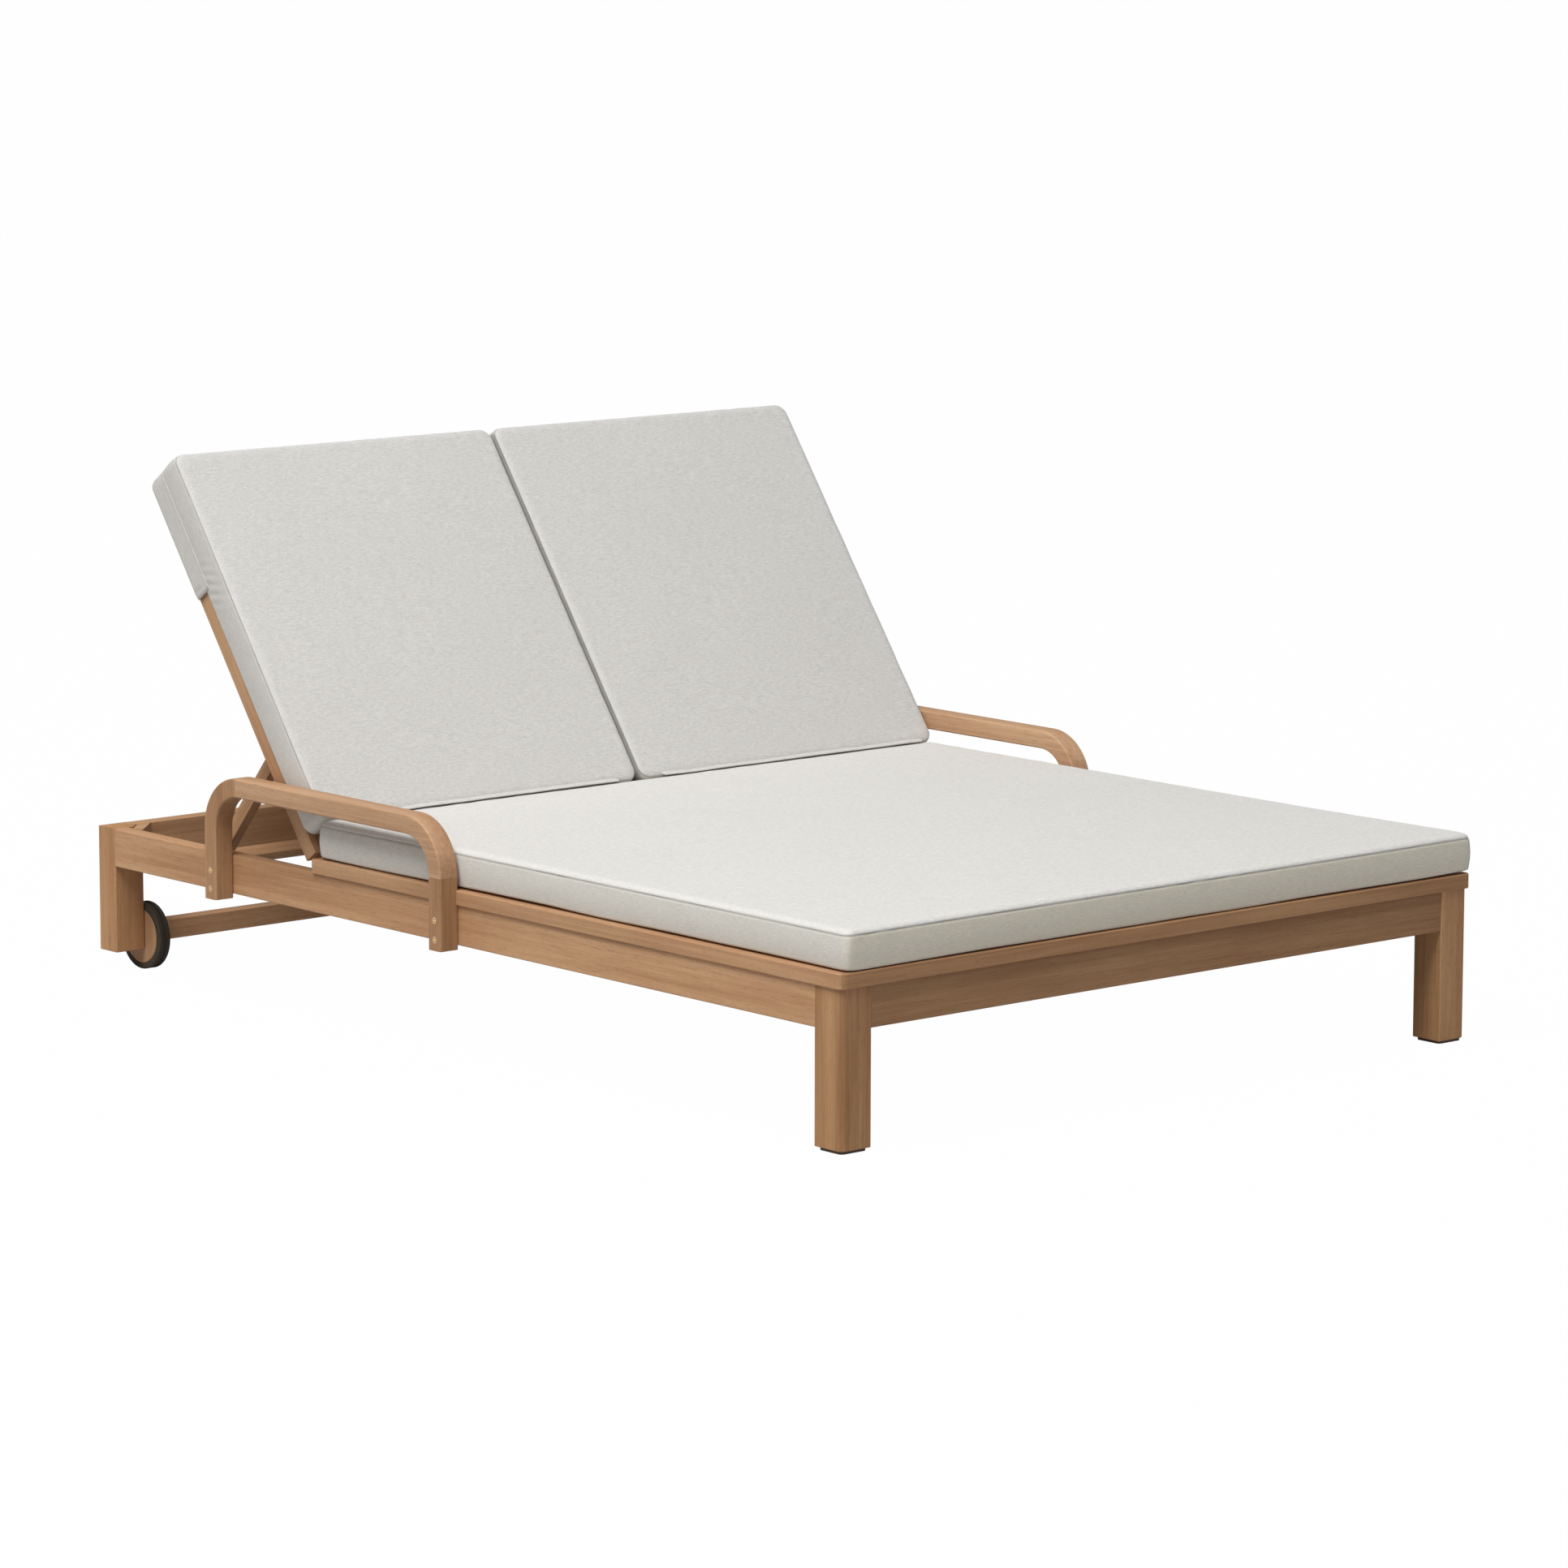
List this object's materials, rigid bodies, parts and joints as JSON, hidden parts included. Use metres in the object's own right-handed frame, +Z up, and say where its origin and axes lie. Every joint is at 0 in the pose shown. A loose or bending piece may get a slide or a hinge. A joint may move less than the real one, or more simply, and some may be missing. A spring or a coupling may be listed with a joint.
{
  "type": "double chaise lounger",
  "caption": "Wide wheeled wooden sun lounger with two separately reclining back rests, arched arm rests and thick seat and back cushions.",
  "frame": {"origin": "on the ground, midway between the foot end and the backs of the wheels, under the middle of the width", "axes": "+Z up, -Y towards the foot end, +Y towards the head end with the wheels, -X towards the side nearest the camera in the picture"},
  "size_m": [1.47, 2.024, 0.9365],
  "materials": {
    "wood": "oiled eucalyptus or acacia, planed",
    "inner_wood": "oiled, planed, not on show",
    "cushion_fabric": "woven heather fabric over foam",
    "brass": "plated socket head",
    "steel": "zinc plated",
    "bush": "moulded nylon",
    "tyre": "matte rubber",
    "glide": "moulded foot"
  },
  "bodies": {
    "frame": {"arm_bolts_and_inserts": "brass", "axle_beam": "wood", "axle_pins_and_washers": "steel", "corner_blocks": "inner_wood", "fixed_hinge_leaves_and_pins": "steel", "foot_glides": "glide", "frame_dowels": "inner_wood", "front_apron": "wood", "front_border_board": "wood", "hanger_bolts_and_wing_nuts": "steel", "left_arm_bar": "wood", "left_arm_posts": "wood", "left_border_board": "wood", "left_center_rail": "wood", "left_front_leg": "wood", "left_rear_leg": "wood", "left_side_rail": "wood", "rear_board": "wood", "rear_rail": "wood", "right_arm_bar": "wood", "right_arm_posts": "wood", "right_border_board": "wood", "right_center_rail": "wood", "right_front_leg": "wood", "right_rear_leg": "wood", "right_side_rail": "wood", "seat_cross_rails": "inner_wood", "seat_cushion": "cushion_fabric", "seat_slats": "inner_wood", "slat_ledgers": "inner_wood", "strut_racks": "inner_wood", "wood_screws": "steel"},
    "left_back": {"left_back_bottom_rail": "wood", "left_back_cushion": "cushion_fabric", "left_back_inner_stile": "wood", "left_back_outer_stile": "wood", "left_back_slats": "inner_wood", "left_back_top_rail": "wood", "left_cushion_hood": "cushion_fabric", "left_moving_hinge_leaves": "steel", "left_strut_bolts": "steel"},
    "right_back": {"right_back_bottom_rail": "wood", "right_back_cushion": "cushion_fabric", "right_back_inner_stile": "wood", "right_back_outer_stile": "wood", "right_back_slats": "inner_wood", "right_back_top_rail": "wood", "right_cushion_hood": "cushion_fabric", "right_moving_hinge_leaves": "steel", "right_strut_bolts": "steel"},
    "left_strut": {"left_strut_arms": "wood", "left_strut_bar": "wood"},
    "right_strut": {"right_strut_arms": "wood", "right_strut_bar": "wood"},
    "left_wheel": {"left_wheel_bush": "bush", "left_wheel_disc": "wood", "left_wheel_tyre": "tyre"},
    "right_wheel": {"right_wheel_bush": "bush", "right_wheel_disc": "wood", "right_wheel_tyre": "tyre"}
  },
  "joints": [
    {"name": "left_back_recline", "type": "hinge", "parent": "frame", "child": "left_back", "pos_m": [-0.354, 0.35, 0.2945], "axis": [1, 0, 0], "range_deg": [-53.6, 0]},
    {"name": "left_strut_swing", "type": "hinge", "parent": "left_back", "child": "left_strut", "pos_m": [-0.354, 0.50487, 0.46257], "axis": [1, 0, 0], "range_deg": [-0.01, 103.41]},
    {"name": "left_wheel_spin", "type": "hinge", "parent": "frame", "child": "left_wheel", "pos_m": [-0.6235, 0.952, 0.06], "axis": [1, 0, 0], "continuous": true},
    {"name": "right_back_recline", "type": "hinge", "parent": "frame", "child": "right_back", "pos_m": [0.354, 0.35, 0.2945], "axis": [1, 0, 0], "range_deg": [-53.6, 0]},
    {"name": "right_strut_swing", "type": "hinge", "parent": "right_back", "child": "right_strut", "pos_m": [0.354, 0.50487, 0.46257], "axis": [1, 0, 0], "range_deg": [-0.01, 103.41]},
    {"name": "right_wheel_spin", "type": "hinge", "parent": "frame", "child": "right_wheel", "pos_m": [0.6235, 0.952, 0.06], "axis": [1, 0, 0], "continuous": true}
  ],
  "couplings": [
    {"joint": "left_strut_swing", "follows": "left_back_recline", "ratio": -1.9148},
    {"joint": "right_strut_swing", "follows": "right_back_recline", "ratio": -1.9148}
  ]
}
